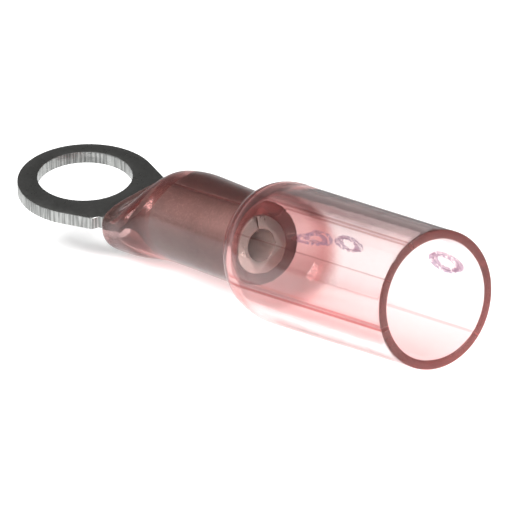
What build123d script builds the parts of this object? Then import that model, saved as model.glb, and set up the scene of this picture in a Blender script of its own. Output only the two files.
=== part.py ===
from build123d import *
import os
from math import sin, cos, tan, radians, pi, copysign

os.makedirs("parts", exist_ok=True)

# Heat shrink ring terminal. It is built along its own wire barrel: X runs along the
# barrel from the bend in the tongue towards the wire mouth, Z is the seam side.
# The last lines turn it the way it comes to rest on a table.

# Stamped strip
sheet = 0.70
stud_hole_r = 2.55
ring_r = 3.75
ring_forward = 0.30
ring_aside = -0.15
side_taper = 20.3
taper_end = 3.30
neck_step = 0.14
neck_front_half = 2.62
neck_half = 2.30
hole_to_bend = 4.34

# The tongue is bent up and a little sideways where it leaves the barrel
bend_up = 14.4
bend_aside = 10.85

# Rolled wire barrel
barrel_bore_r = 0.85
barrel_front = 2.85
barrel_length = 7.95
seam_gap = 0.06
roll_start = 0.70

# Heat shrink sleeve
tube_r = 3.54
tube_wall = 0.48
tube_straight = 11.88
tube_swell = 0.12
shrunk_wall = 0.90
shrunk_lift = 0.30
crease_lift = 0.10
front_side_wall = 0.38
front_wall = 0.52
front_cover = 0.64
front_depth = 2.27
front_settled = 3.80
front_slack = 0.12
front_bite = 0.05
front_clear = 0.20
front_rise = 0.34
trough_rise = 0.95
trough_clear = 0.40
shoulder_back = 0.35
shoulder_length = 2.75
shoulder_lift = 0.14

# How it lies on a table
lie_pitch = 5.0
lie_roll = 8.0

# Stations of the trough between tongue and barrel: share of the way, width as a share
# of the neck, degrees rolled, drop as a share of the barrel's radius
TROUGH = (
    (0.32, 1.00, 50, 0.10),
    (0.54, 1.03, 115, 0.40),
    (0.75, 1.20, 205, 0.78),
    (0.89, 1.46, 285, 0.96),
)

# Stations of the sleeve's outside over the barrel: share of the way from the settled front
# to the shoulder, gain in radius, share of the lift towards the seam side
SHRUNK = (
    (0.12, 0.08, 1.00),
    (0.37, 0.065, 0.83),
    (0.62, 0.04, 0.60),
    (0.88, 0.01, 0.38),
)

# Stations of the shoulder: share of its length, share of the step in radius, share of its lift
SHOULDER = (
    (0.0, 0.0, 0.0),
    (0.055, 0.04, 0.04),
    (0.18, 0.32, 0.65),
    (0.38, 0.68, 1.00),
    (0.565, 0.89, 0.55),
    (0.78, 0.98, 0.25),
    (1.0, 1.0, 0.0),
)

barrel_r = barrel_bore_r + sheet
barrel_mid_r = barrel_bore_r + sheet / 2
barrel_end = barrel_front + barrel_length
shrunk_r = barrel_r + shrunk_wall
tube_bore_r = tube_r - tube_wall
shoulder_start = barrel_end - shoulder_back
shoulder_end = shoulder_start + shoulder_length
mouth = shoulder_end + tube_straight
trough_middle = (roll_start + barrel_front) / 2

# The tongue's own frame: origin in the middle of the stud hole, X towards the barrel
tongue_frame = (
    Location((0, 0, 0), (0, bend_up, 0))
    * Location((0, 0, 0), (0, 0, bend_aside))
    * Location((-hole_to_bend, 0, 0))
)


def across(x, y=0.0, z=0.0):
    """Plane square to the barrel at distance x, its own X along Y and its Y along Z."""
    return Plane(origin=(x, y, z), x_dir=(0, 1, 0), z_dir=(1, 0, 0))


def round_at(x, radius, y=0.0, z=0.0):
    """Disc square to the barrel."""
    return across(x, y, z) * Circle(radius)


# Ring terminal

def tongue():
    """Flat ring with the hole, its two tapering sides, the step and the short neck."""
    taper = radians(side_taper)
    touch_x = ring_forward + ring_r * sin(taper)
    touch_y = ring_r * cos(taper)
    end_y = touch_y - (taper_end - touch_x) * tan(taper)
    sides = Polygon(
        (touch_x, ring_aside - touch_y),
        (taper_end, ring_aside - end_y),
        (taper_end, ring_aside + end_y),
        (touch_x, ring_aside + touch_y),
        (ring_forward, ring_aside),
        align=None,
    )
    neck = Polygon(
        (ring_forward, -neck_front_half),
        (taper_end + neck_step, -neck_front_half),
        (hole_to_bend, -neck_half),
        (hole_to_bend + roll_start / 2, -neck_half),
        (hole_to_bend + roll_start / 2, neck_half),
        (hole_to_bend, neck_half),
        (taper_end + neck_step, neck_front_half),
        (ring_forward, neck_front_half),
        align=None,
    )
    outline = Pos(ring_forward, ring_aside) * Circle(ring_r) + sides + neck
    plate = extrude(outline - Circle(stud_hole_r), sheet / 2, both=True)
    return tongue_frame * plate


def strip_section(x, width, turn, bottom):
    """The strip part rolled: its own width bent round by an angle, seam side open."""
    mid_r = width / radians(turn)
    outer, inner = mid_r + sheet / 2, mid_r - sheet / 2
    half = radians(turn) / 2
    centre = bottom + mid_r

    def at(radius, angle):
        return (radius * sin(angle), centre - radius * cos(angle))

    edges = (
        ThreePointArc(at(outer, -half), at(outer, 0), at(outer, half))
        + Line(at(outer, half), at(inner, half))
        + ThreePointArc(at(inner, half), at(inner, 0), at(inner, -half))
        + Line(at(inner, -half), at(outer, -half))
    )
    return across(x) * make_face(edges)


def ring_terminal():
    """One stamped strip: the tongue runs into a trough that closes into the barrel."""
    rolled = 2 * pi * barrel_mid_r - seam_gap
    full_turn = rolled / barrel_mid_r * 180 / pi
    reach = barrel_front - roll_start
    flat = 2 * neck_half
    sections = [strip_section(0, flat, 1, 0), strip_section(roll_start, flat, 6, 0)]
    for along, wider, turn, dip in TROUGH:
        x = roll_start + reach * along
        sections.append(strip_section(x, flat * wider, turn, -barrel_mid_r * dip))
    sections.append(strip_section(barrel_front, rolled, full_turn, -barrel_mid_r))
    barrel = extrude(sections[-1], barrel_length)
    return tongue() + loft(sections) + barrel


# Heat shrink sleeve

def pressed_section(frame, half, top, bottom, level, square):
    """Closed outline of the sleeve where it is pressed flat over the tongue."""
    points = []
    for step in range(24):
        angle = 2 * pi * step / 24
        c, s = cos(angle), sin(angle)
        rise = top - level if s > 0 else level - bottom
        power = 2 / square if s > 0 else 2 / (2 + (square - 2) * 0.15)
        side = copysign(abs(c) ** power, c)
        height = copysign(abs(s) ** power, s)
        points.append((half * side, level + rise * height))
    return frame * make_face(Spline(points, periodic=True))


def lifted(x, radius, lift):
    """Disc square to the barrel, moved off its middle towards the seam side."""
    return round_at(x, radius, lift * 0.54, lift * 0.84)


def shrunk_outside():
    """Outside of the sleeve where it is shrunk over the tongue and the barrel."""
    cut_end = Plane(tongue_frame) * Plane(
        origin=(hole_to_bend - front_cover, 0, 0), x_dir=(0, 1, 0), z_dir=(1, 0, 0)
    )
    half = neck_half + front_side_wall
    top = sheet / 2 + front_wall
    sections = [
        pressed_section(cut_end, half, top, -front_depth, -0.25, 3.4),
        pressed_section(across(roll_start), half, top + 0.08, -front_depth, -0.25, 3.2),
        pressed_section(across(trough_middle), half + 0.02, top + 0.70, -front_depth, -0.1, 2.8),
        lifted(barrel_front + 0.1, shrunk_r - 0.03, shrunk_lift * 0.6),
    ]
    reach = shoulder_start - front_settled
    for along, gain, share in SHRUNK:
        sections.append(lifted(front_settled + reach * along, shrunk_r + gain, shrunk_lift * share))
    sections.append(lifted(shoulder_start, shrunk_r, crease_lift))
    return loft(sections)


def shrunk_inside():
    """Hollow of the front: pressed onto the tongue, clear of the trough, down to the barrel."""
    ahead_of_cut = Plane(tongue_frame) * Plane(
        origin=(hole_to_bend - front_cover - front_clear, 0, 0), x_dir=(0, 1, 0), z_dir=(1, 0, 0)
    )
    half = neck_half + front_clear
    top = sheet / 2
    bottom = front_wall - front_depth
    return loft([
        pressed_section(ahead_of_cut, neck_half + front_slack, top - front_bite, bottom, -0.25, 3.4),
        pressed_section(across(roll_start), half, top + front_rise, bottom, -0.25, 4.5),
        pressed_section(across(trough_middle), half, top + trough_rise, bottom, -0.1, 2.9),
        round_at(barrel_front + 0.1, barrel_r + trough_clear),
        round_at(front_settled, barrel_r + front_slack),
    ])


def shoulder(small, large, first_lift):
    """Rounded step from the shrunk part to the wide tube, fuller on the seam side."""
    sections = []
    for along, grown, share in SHOULDER:
        x = shoulder_start + shoulder_length * along
        lift = first_lift * (1 - along) + shoulder_lift * share
        sections.append(lifted(x, small + (large - small) * grown, lift))
    return loft(sections)


def heat_shrink_sleeve():
    """One tube: shrunk over the barrel and tongue, still wide where the wire goes in."""
    wide_r = tube_r + tube_swell
    bore = extrude(round_at(front_settled, barrel_r), shoulder_start - front_settled)
    # the tongue's edges press into the sleeve's side walls, so the tongue is cut out of it
    front = shrunk_outside() - shrunk_inside() - bore - tongue()
    step = shoulder(shrunk_r, wide_r, crease_lift) - shoulder(barrel_r, tube_bore_r, 0)
    wide = loft([round_at(shoulder_end, wide_r), round_at(mouth, tube_r)])
    wide_bore = extrude(round_at(shoulder_end, tube_bore_r), tube_straight)
    return front + step + (wide - wide_bore)


terminal = ring_terminal()
sleeve = heat_shrink_sleeve()
lying = Location((0, 0, 0), (0, -lie_pitch, 0)) * Location((0, 0, 0), (lie_roll, 0, 0))
parts = {"ring_terminal": lying * terminal, "heat_shrink_sleeve": lying * sleeve}

low = [shape.bounding_box().min for shape in parts.values()]
high = [shape.bounding_box().max for shape in parts.values()]
middle_x = (min(v.X for v in low) + max(v.X for v in high)) / 2
middle_y = (min(v.Y for v in low) + max(v.Y for v in high)) / 2
ground = Location((-middle_x, -middle_y, -min(v.Z for v in low)))

for name, shape in parts.items():
    shape = ground * shape
    box = shape.bounding_box()
    print(name, len(shape.solids()), "solid", round(shape.volume, 2), "mm3", box)
    export_step(shape, "parts/" + name + ".step")
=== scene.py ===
from math import atan2, cos, copysign, pi, radians, sin

import bmesh
import bpy
from mathutils import Euler, Matrix, Vector


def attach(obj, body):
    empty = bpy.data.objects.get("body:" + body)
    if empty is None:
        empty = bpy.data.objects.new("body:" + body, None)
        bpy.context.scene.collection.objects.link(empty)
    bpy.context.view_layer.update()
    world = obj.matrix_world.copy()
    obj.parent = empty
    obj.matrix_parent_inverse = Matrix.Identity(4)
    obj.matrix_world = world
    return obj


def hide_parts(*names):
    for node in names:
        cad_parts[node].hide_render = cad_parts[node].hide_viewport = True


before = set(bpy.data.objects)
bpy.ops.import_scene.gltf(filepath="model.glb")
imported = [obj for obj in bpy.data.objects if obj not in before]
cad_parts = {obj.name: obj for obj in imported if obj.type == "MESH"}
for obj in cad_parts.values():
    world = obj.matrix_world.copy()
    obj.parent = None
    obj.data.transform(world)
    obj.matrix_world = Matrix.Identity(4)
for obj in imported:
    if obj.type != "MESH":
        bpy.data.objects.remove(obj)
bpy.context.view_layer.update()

# Ring terminal
# A ring tongue and a wire barrel stamped and rolled from one strip of copper, 0.7 mm thick,
# and tinned all over. The tongue is bent up where the strip starts to roll into the barrel.


class Value:
    """One output of a finish's node; sums and products of it add Math nodes."""

    def __init__(self, finish, node, output=0):
        self.finish = finish
        self.node = node
        self.socket = node.outputs[output]

    def of(self, output):
        """Another output of the same node."""
        return Value(self.finish, self.node, output)

    def math(self, operation, *others):
        return self.finish.math(operation, self, *others)

    def __add__(self, other):
        return self.math("ADD", other)

    def __mul__(self, other):
        return self.math("MULTIPLY", other)

    def __sub__(self, other):
        return self.math("SUBTRACT", other)

    def __rsub__(self, other):
        return self.finish.math("SUBTRACT", other, self)

    def __truediv__(self, other):
        return self.math("DIVIDE", other)

    __radd__ = __add__
    __rmul__ = __mul__


class Finish:
    """The nodes of one material, or of the room round the object."""

    def __init__(self, block, output="ShaderNodeOutputMaterial"):
        self.block = block
        self.block.use_nodes = True
        self.tree = self.block.node_tree
        self.tree.nodes.clear()
        self.output = self.tree.nodes.new(output)

    def node(self, kind, settings=None, sockets=None, output=0):
        """Adds a node: its type, its settings first, then its sockets' values or links."""
        node = self.tree.nodes.new(kind)
        for name, setting in (settings or {}).items():
            if name == "stops":
                ramp = node.color_ramp.elements
                while len(ramp) < len(setting):
                    ramp.new(0.5)
                for element, (place, colour) in zip(ramp, setting):
                    element.position = place
                    element.color = colour
            else:
                setattr(node, name, setting)
        for name, value in (sockets or {}).items():
            if isinstance(value, Value):
                self.tree.links.new(value.socket, node.inputs[name])
            else:
                node.inputs[name].default_value = value
        return Value(self, node, output)

    def math(self, operation, *values):
        return self.node("ShaderNodeMath", {"operation": operation}, dict(enumerate(values)))

    def vector(self, operation, *values, output=0):
        """A Vector Math node; its number comes out of the output named Value."""
        return self.node("ShaderNodeVectorMath", {"operation": operation}, dict(enumerate(values)), output)

    def seen_from(self, place, turn):
        """Coordinates of the piece from a place of its own and turned with it."""
        here = self.node("ShaderNodeTexCoord").of("Object")
        sockets = {"Vector": here, "Location": place, "Rotation": turn}
        return self.node("ShaderNodeMapping", {"vector_type": "TEXTURE"}, sockets)

    def in_mm(self, place):
        """The three numbers of a place, in mm."""
        parts = self.node("ShaderNodeSeparateXYZ", None, {0: place})
        return [parts.of(axis) * 1000.0 for axis in ("X", "Y", "Z")]

    def step(self, value, low, high):
        """0 below low, 1 above high, smooth between."""
        sockets = {"Value": value, "From Min": low, "From Max": high}
        return self.node("ShaderNodeMapRange", {"interpolation_type": "SMOOTHSTEP"}, sockets)

    def noise(self, place, scale, detail=3.0, roughness=0.5):
        sockets = {"Vector": place, "Scale": scale, "Detail": detail, "Roughness": roughness}
        return self.node("ShaderNodeTexNoise", None, sockets)

    def mix(self, share, first, second):
        """Colour between two, by share."""
        return self.node("ShaderNodeMix", {"data_type": "RGBA"}, {0: share, 6: first, 7: second}, 2)

    def finish(self, surface, volume=None):
        self.tree.links.new(surface.socket, self.output.inputs["Surface"])
        if volume:
            self.tree.links.new(volume.socket, self.output.inputs["Volume"])
        return self.block


MM = 0.001
LIE_PITCH = 5.0
LIE_ROLL = 8.0
BEND_UP = 14.4
BEND_ASIDE = 10.85
HOLE_TO_BEND = 4.34
HOLE_R = 2.55
SHEET = 0.70
BORE_R = 0.85
BARREL_FRONT = 2.85
BARREL_END = 10.80
COVERED_FROM = 3.55


def bent(share):
    """Turn of the tongue against the barrel, for a share of its bend."""
    up = Matrix.Rotation(radians(BEND_UP * share), 3, "Y")
    return up @ Matrix.Rotation(radians(BEND_ASIDE * share), 3, "Z")


# how the terminal lies on the table, and where the solids have the bend and the hole
LIE = Euler((radians(LIE_ROLL), radians(-LIE_PITCH), 0.0))
BEND_AT = Vector((-8.8309, 0.5691, 2.4957)) * MM
TONGUE_TURN = LIE.to_matrix() @ bent(1.0)
HOLE_AT = BEND_AT + TONGUE_TURN @ Vector((-HOLE_TO_BEND * MM, 0, 0))
ON_BARREL = Matrix.Translation(BEND_AT) @ LIE.to_matrix().to_4x4()
ON_TONGUE = Matrix.Translation(HOLE_AT) @ TONGUE_TURN.to_4x4()

tin = Finish(bpy.data.materials.new("tinned_copper"))
on_strip = tin.seen_from(HOLE_AT, TONGUE_TURN.to_euler())
from_hole = tin.in_mm(on_strip)[0]
from_bend, aside, above = tin.in_mm(tin.seen_from(BEND_AT, LIE))
off_axis = (aside * aside + above * above).math("SQRT")

# the stamped edges stand across the sheet, and show the marks of the shear
facing = tin.node("ShaderNodeNewGeometry").of("Normal")
strip_up = tuple(TONGUE_TURN @ Vector((0, 0, 1)))
flatness = tin.vector("DOT_PRODUCT", facing, strip_up, output="Value").math("ABSOLUTE")
cut_edge = 1 - tin.step(flatness, 0.45, 0.75)
stretched = tin.vector("MULTIPLY", on_strip, (1.0, 1.0, 0.05))
shear = tin.noise(stretched, 9000.0, 3.0, 0.6)
edge_colour = tin.mix(tin.step(shear, 0.40, 0.62), (0.20, 0.205, 0.20, 1), (0.42, 0.43, 0.42, 1))

# the faces are dull in clouds
grain = tin.noise(on_strip, 5200.0, 4.0, 0.6)
dull = tin.step(tin.noise(on_strip, 620.0, 3.0, 0.55), 0.42, 0.68)
tin_colour = tin.mix(dull, (0.37, 0.37, 0.357, 1), (0.25, 0.25, 0.243, 1))
tin_colour = tin.mix(cut_edge, tin_colour, edge_colour)

# under the sleeve the strip is painted darker as shade, and pitted, but not at the barrel's end and in its
# bore
at_end = tin.step(from_bend, BARREL_END - 0.10, BARREL_END - 0.01)
behind_trough = tin.step(from_bend, BARREL_FRONT + 0.15, BARREL_FRONT + 1.15)
in_bore = (1 - tin.step(off_axis, BORE_R + 0.03, BORE_R + 0.11)) * behind_trough * (1 - at_end)
covered = tin.step(from_hole, COVERED_FROM, COVERED_FROM + 0.25) * (1 - at_end) * (1 - in_bore)
pitted = tin.step(tin.noise(on_strip, 9500.0, 3.0, 0.75), 0.50, 0.72)
# painted shade: the tin under the sleeve gets a darker copy of its colour, with pits
pitted_and_shaded = tin.mix(pitted, (0.15, 0.145, 0.135, 1), (0.23, 0.215, 0.20, 1))
tin_colour = tin.mix(covered, tin_colour, pitted_and_shaded)
tin_colour = tin.mix(at_end, tin_colour, (0.28, 0.265, 0.24, 1))
# painted highlight: the bore gets a near-white copy of the tin, much paler than the same tin outside
tin_colour = tin.mix(in_bore, tin_colour, (0.92, 0.92, 0.89, 1))

relief = grain * 0.6 + cut_edge * shear * 1.2
bump = tin.node("ShaderNodeBump", None, {"Strength": 0.35, "Distance": 0.00003, "Height": relief})
tin_surface = tin.node(
    "ShaderNodeBsdfPrincipled",
    None,
    {
        "Base Color": tin_colour,
        "Metallic": 1.0,
        "Roughness": 0.22 + grain * 0.14 + dull * 0.10 + covered * 0.32,
        "Normal": bump,
    },
)

RING_R = 3.75
RING_FORWARD = 0.30
RING_ASIDE = -0.15
RING_STEPS = 59
SIDE_TAPER = 20.3
NECK_STEP_AT = 3.35
NECK_END = 4.70

# one side of the tongue from the ring to the bend: x and y from the hole, and the number of
# edges that lead there
NECK = (
    (3.30, 2.84, 10),
    (3.44, 2.62, 1),
    (HOLE_TO_BEND, 2.30, 4),
    (NECK_END, 2.30, 1),
)
NECK_ACROSS = (0.46, 1.38)


def outline():
    """96 places round the tongue, counted from the middle of the neck."""
    touch = radians(90 - SIDE_TAPER)
    side = [Vector((RING_FORWARD + RING_R * cos(touch), RING_R * sin(touch)))]
    for x, y, count in NECK:
        start = side[-1]
        side += [start.lerp(Vector((x, y)), (k + 1) / count) for k in range(count)]
    half = [Vector((NECK_END, y)) for y in NECK_ACROSS] + side[::-1]
    turns = [touch + k * 2 * (pi - touch) / RING_STEPS for k in range(1, RING_STEPS)]
    ring = [Vector((RING_FORWARD + RING_R * cos(turn), RING_R * sin(turn))) for turn in turns]
    other_half = [Vector((place.x, -place.y)) for place in half[::-1]]
    places = half + ring + other_half
    for place in places:
        if place.x < NECK_STEP_AT:
            place.y += RING_ASIDE
    return places


def round_off(mesh, angle, offset):
    """Rounds the edges where two faces meet at more than an angle."""
    sharp = [edge for edge in mesh.edges if edge.calc_face_angle(0.0) > radians(angle)]
    settings = {"offset_type": "OFFSET", "segments": 2, "profile": 0.5, "affect": "EDGES", "material": -1}
    bmesh.ops.bevel(mesh, geom=sharp, offset=offset, **settings)


def set_down(mesh, place):
    """Turns a mesh drawn in mm to metres and moves it to its place."""
    bmesh.ops.scale(mesh, vec=(MM, MM, MM), verts=mesh.verts)
    bmesh.ops.transform(mesh, matrix=place, verts=mesh.verts)


strip = bmesh.new()
edge_places = outline()
rim = bmesh.ops.create_circle(strip, segments=len(edge_places), radius=RING_R)["verts"]
hole = bmesh.ops.create_circle(strip, segments=len(edge_places), radius=HOLE_R)["verts"]
for rim_vertex, hole_vertex, place in zip(rim, hole, edge_places):
    spoke = place.normalized() * HOLE_R
    rim_vertex.co = (place.x, place.y, -SHEET / 2)
    hole_vertex.co = (spoke.x, spoke.y, -SHEET / 2)
plate = bmesh.ops.bridge_loops(strip, edges=list(strip.edges))["faces"]
raised = bmesh.ops.extrude_face_region(strip, geom=plate)["geom"]
raised = [item for item in raised if isinstance(item, bmesh.types.BMVert)]
bmesh.ops.translate(strip, verts=raised, vec=(0, 0, SHEET))
bmesh.ops.recalc_face_normals(strip, faces=strip.faces)
round_off(strip, 35, 0.05)
set_down(strip, ON_TONGUE)

# the rolled part: x, width of the strip, degrees it is rolled, and its lowest line
ROLLED = (
    (0.0, 4.60, 1.0, 0.0),
    (0.70, 4.60, 6.0, 0.0),
    (1.388, 4.60, 50.0, -0.12),
    (1.861, 4.738, 115.0, -0.48),
    (2.3125, 5.52, 205.0, -0.936),
    (2.6135, 6.716, 285.0, -1.152),
    (BARREL_FRONT, 7.48, 357.1, -1.20),
)
FACE_STEPS = 60


def smooth_between(before, start, end, after, t):
    """Smooth value a share t of the way from start to end."""
    return 0.5 * (
        2 * start
        + (end - before) * t
        + (2 * before - 5 * start + 4 * end - after) * t * t
        + (3 * start - before - 3 * end + after) * t ** 3
    )


def in_between(table, steps):
    """The table's rows with smooth rows between them."""
    rows = []
    last = len(table) - 1
    for k in range(last):
        four_rows = table[max(k - 1, 0)], table[k], table[k + 1], table[min(k + 2, last)]
        for step in range(steps):
            rows.append([smooth_between(*four, step / steps) for four in zip(*four_rows)])
    rows.append(list(table[last]))
    return rows


def grow_ring(mesh, ring):
    """Extrudes the open end of a tube and returns its new ring."""
    inside = set(ring)
    edges = [edge for edge in mesh.edges if len(edge.link_faces) < 2 and inside.issuperset(edge.verts)]
    grown = bmesh.ops.extrude_edge_only(mesh, edges=edges)["geom"]
    return [item for item in grown if isinstance(item, bmesh.types.BMVert)]


def roll_ring(ring, turn, x, width, degrees, lowest):
    """Places a ring round the strip's section: out along one face, back along the other."""
    middle = width / radians(degrees)
    for vertex in ring:
        share = vertex[turn] / (2 * pi)
        back = share >= 0.5
        along = (share * 2) % 1.0
        angle = radians(degrees) * ((1 - along if back else along) - 0.5)
        radius = middle - SHEET / 2 if back else middle + SHEET / 2
        vertex.co = (x, radius * sin(angle), lowest + middle - radius * cos(angle))


barrel = bmesh.new()
turn = barrel.verts.layers.float.new("turn")
ring = bmesh.ops.create_circle(barrel, segments=2 * FACE_STEPS, radius=1.0)["verts"]
for k, vertex in enumerate(ring):
    share = (k % FACE_STEPS) / (FACE_STEPS - 1) * 0.4999
    vertex[turn] = 2 * pi * (share + (0.5 if k >= FACE_STEPS else 0.0))
rows = in_between(ROLLED, 4) + [[BARREL_END, *ROLLED[-1][1:]]]
roll_ring(ring, turn, *rows[0])
for row in rows[1:]:
    ring = grow_ring(barrel, ring)
    roll_ring(ring, turn, *row)
bmesh.ops.holes_fill(barrel, edges=[edge for edge in barrel.edges if edge.is_boundary])
bmesh.ops.recalc_face_normals(barrel, faces=barrel.faces)
round_off(barrel, 50, 0.02)
set_down(barrel, ON_BARREL)
rolled = bpy.data.meshes.new("rolled")
barrel.to_mesh(rolled)
barrel.free()
strip.from_mesh(rolled)
bpy.data.meshes.remove(rolled)
for face in strip.faces:
    face.smooth = True
strip_mesh = bpy.data.meshes.new("terminal_strip")
strip.to_mesh(strip_mesh)
strip.free()
strip_mesh.set_sharp_from_angle(angle=radians(40))
strip_mesh.materials.append(tin.finish(tin_surface))
terminal = bpy.data.objects.new("terminal_strip", strip_mesh)
bpy.context.collection.objects.link(terminal)
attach(terminal, "root")
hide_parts("ring_terminal")

# Heat shrink sleeve
# A clear red polyolefin tube over the barrel. Its front part is shrunk down tight on the
# barrel and the start of the tongue; the rest keeps its full width for the wire to go in.

GRIP_R = 1.54
SHRUNK_R = 2.45
WIDE_R = 3.66
MOUTH_R = 3.54
WALL = 0.48
TUBE_R = (WIDE_R + MOUTH_R) / 2
TUBE_BORE_R = MOUTH_R - WALL
CREASE = 10.45
CREASE_LIFT = 0.10
WIDE_FROM = 13.20
MOUTH = 25.08
LIP = 0.05
FIRM = 0.4
LOWER_SQUARENESS = 0.15

# x along the barrel, share of the tongue's bend, half width, top, bottom, level of the
# widest line, squareness, and how far the ring sits off the barrel's middle
OUTSIDE = (
    (-0.64, 1.0, 2.68, 0.87, -2.27, -0.25, 3.4, 0.0),
    (0.70, 0.0, 2.68, 0.95, -2.27, -0.25, 3.2, 0.0),
    (1.775, 0.0, 2.70, 1.57, -2.27, -0.10, 2.8, 0.0),
    (2.95, 0.0, 2.42, 2.42, -2.42, 0.0, 2.0, 0.18),
    (4.60, 0.0, 2.53, 2.53, -2.53, 0.0, 2.0, 0.30),
    (6.26, 0.0, 2.515, 2.515, -2.515, 0.0, 2.0, 0.25),
    (7.92, 0.0, 2.49, 2.49, -2.49, 0.0, 2.0, 0.18),
    (9.65, 0.0, 2.46, 2.46, -2.46, 0.0, 2.0, 0.115),
    (CREASE, 0.0, SHRUNK_R, SHRUNK_R, -SHRUNK_R, 0.0, 2.0, CREASE_LIFT),
)
INSIDE = (
    (-0.84, 1.0, 2.42, 0.30, -1.75, -0.25, 3.4, 0.0),
    (0.70, 0.0, 2.46, 0.34, -1.75, -0.25, 4.5, 0.0),
    (1.775, 0.0, 2.50, 1.20, -1.75, -0.10, 2.9, 0.0),
    (2.95, 0.0, 1.60, 1.60, -1.60, 0.0, 2.0, 0.0),
    (3.80, 0.0, GRIP_R, GRIP_R, -GRIP_R, 0.0, 2.0, 0.0),
)
# share of the shoulder's length, share of the step in radius, extra lift in mm
SHOULDER = (
    (0.055, 0.04, 0.0056),
    (0.18, 0.32, 0.091),
    (0.38, 0.68, 0.14),
    (0.565, 0.89, 0.077),
    (0.78, 0.98, 0.035),
    (1.0, 1.0, 0.0),
)
# the way from the barrel's middle in which a ring is lifted, across and up
LIFT_WAY = Vector((0, 0.54, 0.84))


def place_ring(ring, turn, x, bend, half, top, bottom, level, square, lift):
    """Gives the ring's vertices their places in one section of the sleeve."""
    tilt = bent(bend)
    for vertex in ring:
        c, s = cos(vertex[turn]), sin(vertex[turn])
        rise = top - level if s > 0 else level - bottom
        power = 2 / square if s > 0 else 2 / (2 + (square - 2) * LOWER_SQUARENESS)
        across = half * copysign(abs(c) ** power, c)
        up = level + rise * copysign(abs(s) ** power, s)
        place = tilt @ Vector((x * bend, across, up)) + Vector((x * (1 - bend), 0, 0))
        vertex.co = place + LIFT_WAY * lift


def round_row(x, radius, lift=0.0):
    return (x, 0.0, radius, radius, -radius, 0.0, 2.0, lift)


def shoulder_rows(small, large, first_lift):
    """Rows of the step from the shrunk part to the wide tube, with the row it starts from."""
    rows = [round_row(CREASE, small, first_lift)]
    for along, grown, extra in SHOULDER:
        x = CREASE + (WIDE_FROM - CREASE) * along
        rows.append(round_row(x, small + (large - small) * grown, first_lift * (1 - along) + extra))
    return in_between(rows, 2)


outer = in_between(OUTSIDE, 2) + shoulder_rows(SHRUNK_R, WIDE_R, CREASE_LIFT)[1:]
outer += [round_row(17.0, 3.62), round_row(21.0, 3.58)]
outer += [round_row(MOUTH - FIRM, MOUTH_R), round_row(MOUTH - LIP, MOUTH_R), round_row(MOUTH, MOUTH_R - LIP)]
inner = [round_row(MOUTH, TUBE_BORE_R + LIP)]
inner += [round_row(x, TUBE_BORE_R) for x in (MOUTH - LIP, MOUTH - FIRM, 21.0, 17.0)]
inner += shoulder_rows(GRIP_R, TUBE_BORE_R, 0.0)[::-1]
inner += [round_row(x, GRIP_R) for x in (7.0, 3.90)]
inner += in_between(INSIDE, 2)[::-1]

shell = bmesh.new()
turn = shell.verts.layers.float.new("turn")
ring = bmesh.ops.create_circle(shell, segments=64, radius=1.0)["verts"]
for vertex in ring:
    vertex[turn] = atan2(vertex.co.y, vertex.co.x)
place_ring(ring, turn, *outer[0])
for row in outer[1:] + inner:
    ring = grow_ring(shell, ring)
    place_ring(ring, turn, *row)
bmesh.ops.bridge_loops(shell, edges=[edge for edge in shell.edges if edge.is_boundary])
bmesh.ops.recalc_face_normals(shell, faces=shell.faces)
set_down(shell, ON_BARREL)
for face in shell.faces:
    face.smooth = True
mesh = bpy.data.meshes.new("sleeve")
shell.to_mesh(mesh)
shell.free()
sleeve = bpy.data.objects.new("sleeve", mesh)
bpy.context.collection.objects.link(sleeve)
rounding = sleeve.modifiers.new("rounding", "SUBSURF")
rounding.levels = 2
rounding.render_levels = 2

# dark red stripes along the tube, the last a broad band of painted shade on the low side: place round it in
# radians, half width, soft edge, strength
LINES = (
    (-3.03, 0.013, 0.030, 1.0),
    (1.876, 0.008, 0.028, 0.7),
    (2.51, 0.003, 0.014, 0.35),
    (-0.878, 0.004, 0.014, 0.4),
    (0.04, 0.003, 0.014, 0.25),
    # a broad band of painted shade on the low side
    (-2.80, 0.04, 0.14, 0.36),
)
# printed ovals: place along the tube, place round it, half length, half height
MARKS = (
    (11.6, -0.10, 0.85, 0.50),
    (14.0, -0.06, 1.05, 0.52),
    (22.0, 0.10, 1.30, 0.62),
)

red = Finish(bpy.data.materials.new("clear_red_sleeve"))
along_tube = red.seen_from(BEND_AT, LIE)
x_mm, y_mm, z_mm = red.in_mm(along_tube)
clock = z_mm.math("ARCTAN2", y_mm)
wide_part = red.step(x_mm, 10.6, 12.0)
cut_face = red.step(x_mm, MOUTH - 0.10, MOUTH - 0.02)


def line_at(turned, half, soft):
    """A line along the tube at one place round it, in radians."""
    off = (clock - turned).math("ABSOLUTE")
    return 1 - red.step(off, half, half + soft)


def mark_at(x, turned, long, high):
    """A plain printed oval on the tube: its middle, half its length and half its height in mm."""
    off_x = (x_mm - x) / long
    off_y = (clock - turned) * TUBE_R / high
    ring = (off_x * off_x + off_y * off_y).math("SQRT") - 0.80
    return 1 - red.step(ring.math("ABSOLUTE"), 0.14, 0.24)


# the shrunk part is thick and deep in colour; over the tongue and on the low side it is painted darker
# still, as painted shade
shade_over_tongue = 1 - red.step(x_mm, 1.2, 3.2)
below = 1 - red.step(z_mm, -1.9, -0.5)
painted_shade_low_edge = 1 - red.step(z_mm, -3.3, -2.2)
painted_shade_low_on_barrel = below * (1 - wide_part) * (1 - shade_over_tongue) * 0.8
skin = red.mix(wide_part, (0.78, 0.53, 0.51, 1), (1.0, 0.985, 0.985, 1))
# painted shade: the sleeve over the tongue is darkened
skin = red.mix(shade_over_tongue, skin, (0.43, 0.27, 0.26, 1))
# painted shade: darker on the low side of the shrunk part and along the low edge of the wide tube
skin = red.mix(painted_shade_low_on_barrel, skin, (0.74, 0.36, 0.34, 1))
skin = red.mix(painted_shade_low_edge * wide_part * 0.5, skin, (0.70, 0.50, 0.49, 1))
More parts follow.
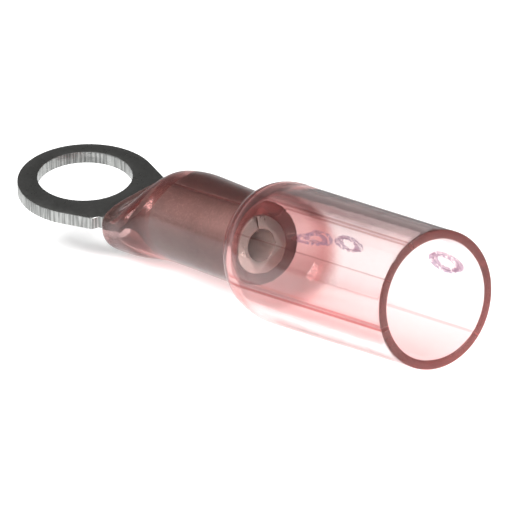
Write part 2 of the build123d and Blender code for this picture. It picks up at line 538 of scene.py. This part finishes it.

# the step keeps some of that thickness; round its middle the crease is painted dark as painted shade, and
# its low side is painted darker as painted shade
thick_step = red.step(x_mm, 10.2, 10.8) * (1 - red.step(x_mm, 12.0, 13.5))
crease_shade = red.step(x_mm, 11.2, 11.8) * (1 - red.step(x_mm, 12.1, 12.8))
skin = red.mix(thick_step, skin, (0.74, 0.47, 0.46, 1))
# painted shade: the crease round the step's middle is darkened
skin = red.mix(crease_shade, skin, (0.60, 0.31, 0.30, 1))
# painted shade: the low side of the step is darkened
skin = red.mix(thick_step * below * 0.6, skin, (0.46, 0.23, 0.22, 1))

lines = sum(line_at(turned, half, soft) * strength for turned, half, soft, strength in LINES)
# painted shade: the last row of the table darkens a broad band on the tube's low side
skin = red.mix((lines * wide_part).math("MINIMUM", 1.0), skin, (0.30, 0.025, 0.025, 1))
print_wear = red.step(red.noise(along_tube, 5200.0, 3.0, 0.7), 0.38, 0.52)
marks = (sum(mark_at(*mark) for mark in MARKS) * print_wear).math("MINIMUM", 1.0)
skin = red.mix(marks, skin, (0.26, 0.22, 0.38, 1))

streaks = red.noise(red.vector("MULTIPLY", along_tube, (0.02, 1.0, 1.0)), 2600.0, 3.0, 0.55)
ripple = red.noise(along_tube, 900.0, 2.0, 0.5)
rough_skin = red.noise(along_tube, 2600.0, 3.0, 0.6)
relief = streaks * 0.35 + ripple * 0.5 + (1 - wide_part) * rough_skin * 0.8
skin_bump = red.node("ShaderNodeBump", None, {"Strength": 0.18, "Distance": 0.00004, "Height": relief})
clear = red.node(
    "ShaderNodeBsdfPrincipled",
    None,
    {
        "Base Color": skin,
        "Roughness": 0.02 + (1 - wide_part) * 0.09 + cut_face * 0.2,
        "IOR": 1.5,
        "Transmission Weight": 1.0,
        "Normal": skin_bump,
    },
)
milky = red.node("ShaderNodeBsdfTranslucent", None, {"Color": (0.68, 0.30, 0.28, 1)})
haze = 0.09 - wide_part * 0.07 + cut_face * 0.38 + marks * 0.25
body = red.node("ShaderNodeMixShader", None, {0: haze, 1: clear, 2: milky})
passing = red.node("ShaderNodeBsdfTransparent", None, {"Color": (0.92, 0.80, 0.80, 1)})
lamp_ray = red.node("ShaderNodeLightPath").of("Is Shadow Ray")
surface = red.node("ShaderNodeMixShader", None, {0: lamp_ray, 1: body, 2: passing})
tint = red.node("ShaderNodeVolumeAbsorption", None, {"Color": (0.533, 0.067, 0.05, 1), "Density": 225.0})
mesh.materials.append(red.finish(surface, tint))
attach(sleeve, "root")
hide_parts("heat_shrink_sleeve")

# Studio
# A white table under soft light, with the camera looking down on it as in the photograph.
# Near the object the table is also as pale in the metal and through the sleeve.

TABLE_HALF = 1.5
NEAR_AT = (0.017, -0.002, 0.0)
NEAR_TO = 0.024
FAR_FROM = 0.068

floor_mesh = bpy.data.meshes.new("table_top")
slab = bmesh.new()
bmesh.ops.create_grid(slab, x_segments=1, y_segments=1, size=TABLE_HALF)
slab.to_mesh(floor_mesh)
slab.free()
table = bpy.data.objects.new("table_top", floor_mesh)
bpy.context.collection.objects.link(table)
white = Finish(bpy.data.materials.new("white_table"))
rays = white.node("ShaderNodeLightPath")
camera_ray = rays.of("Is Camera Ray")
on_table = white.node("ShaderNodeTexCoord").of("Object")
away = white.vector("LENGTH", white.vector("SUBTRACT", on_table, NEAR_AT), output="Value")
near = 1 - white.step(away, NEAR_TO, FAR_FROM)
mirrored = (rays.of("Is Glossy Ray") + rays.of("Is Transmission Ray")).math("MINIMUM", 1.0) * near
seen = camera_ray.math("MAXIMUM", mirrored) * 0.45 + camera_ray * (1 - near) * 0.40
tone = white.mix(near, (0.30, 0.30, 0.30, 1), (0.62, 0.62, 0.62, 1))
lit = white.mix(seen, (0, 0, 0, 1), (1, 1, 1, 1))
paper = white.node("ShaderNodeBsdfDiffuse", None, {"Color": tone})
glow = white.node("ShaderNodeEmission", None, {"Color": lit, "Strength": 1.0})
floor_mesh.materials.append(white.finish(white.node("ShaderNodeAddShader", None, {0: paper, 1: glow})))


def soft_lamp(name, place, size, power):
    """A soft square lamp that looks at the object's middle."""
    lamp = bpy.data.lights.new(name, "AREA")
    lamp.shape = "SQUARE"
    lamp.size = size
    lamp.energy = power
    holder = bpy.data.objects.new(name, lamp)
    aim = Vector(place) - Vector((0, 0, 4 * MM))
    holder.matrix_world = Matrix.Translation(place) @ aim.to_track_quat("Z", "Y").to_matrix().to_4x4()
    bpy.context.collection.objects.link(holder)


soft_lamp("lamp_near", (-0.10, -0.55, 0.60), 0.45, 12.0)
soft_lamp("lamp_right", (0.60, 0.10, 0.45), 0.40, 7.0)

# the room's grey by the height of the way one looks: pale low down, dark overhead
ROOM = ((0.02, 0.62), (0.14, 0.34), (0.32, 0.14), (0.60, 0.09))

room = Finish(bpy.data.worlds.new("room"), "ShaderNodeOutputWorld")
direction = room.node("ShaderNodeTexCoord").of("Generated")
height = room.node("ShaderNodeSeparateXYZ", None, {0: direction}).of("Z")
greys = [(place, (grey, grey, grey, 1)) for place, grey in ROOM]
shade = room.node("ShaderNodeValToRGB", {"stops": greys}, {"Fac": height})
bpy.context.scene.world = room.finish(room.node("ShaderNodeBackground", None, {"Color": shade}))

# the camera, fitted to the photograph: focal length as a share of the picture's width, its
# place in mm, and the degrees it is turned round, tipped up from straight down, and rolled
SENSOR = 36.0
FOCAL_SHARE = 5000.0 / 512.0
CAMERA_AT = Vector((197.2594, -144.5923, 87.7542))
HEADING = 53.4876
TIP = 70.7801
CAMERA_ROLL = 0.5467

eye = bpy.data.cameras.new("camera")
eye.sensor_width = SENSOR
eye.lens = SENSOR * FOCAL_SHARE
eye.clip_start = 0.01
eye.clip_end = 10.0
camera = bpy.data.objects.new("camera", eye)
tipped = Matrix.Rotation(radians(HEADING), 4, "Z") @ Matrix.Rotation(radians(TIP), 4, "X")
turned = tipped @ Matrix.Rotation(radians(CAMERA_ROLL), 4, "Z")
camera.matrix_world = Matrix.Translation(CAMERA_AT * MM) @ turned
bpy.context.collection.objects.link(camera)
bpy.context.scene.camera = camera
bpy.context.scene.view_settings.view_transform = "Standard"
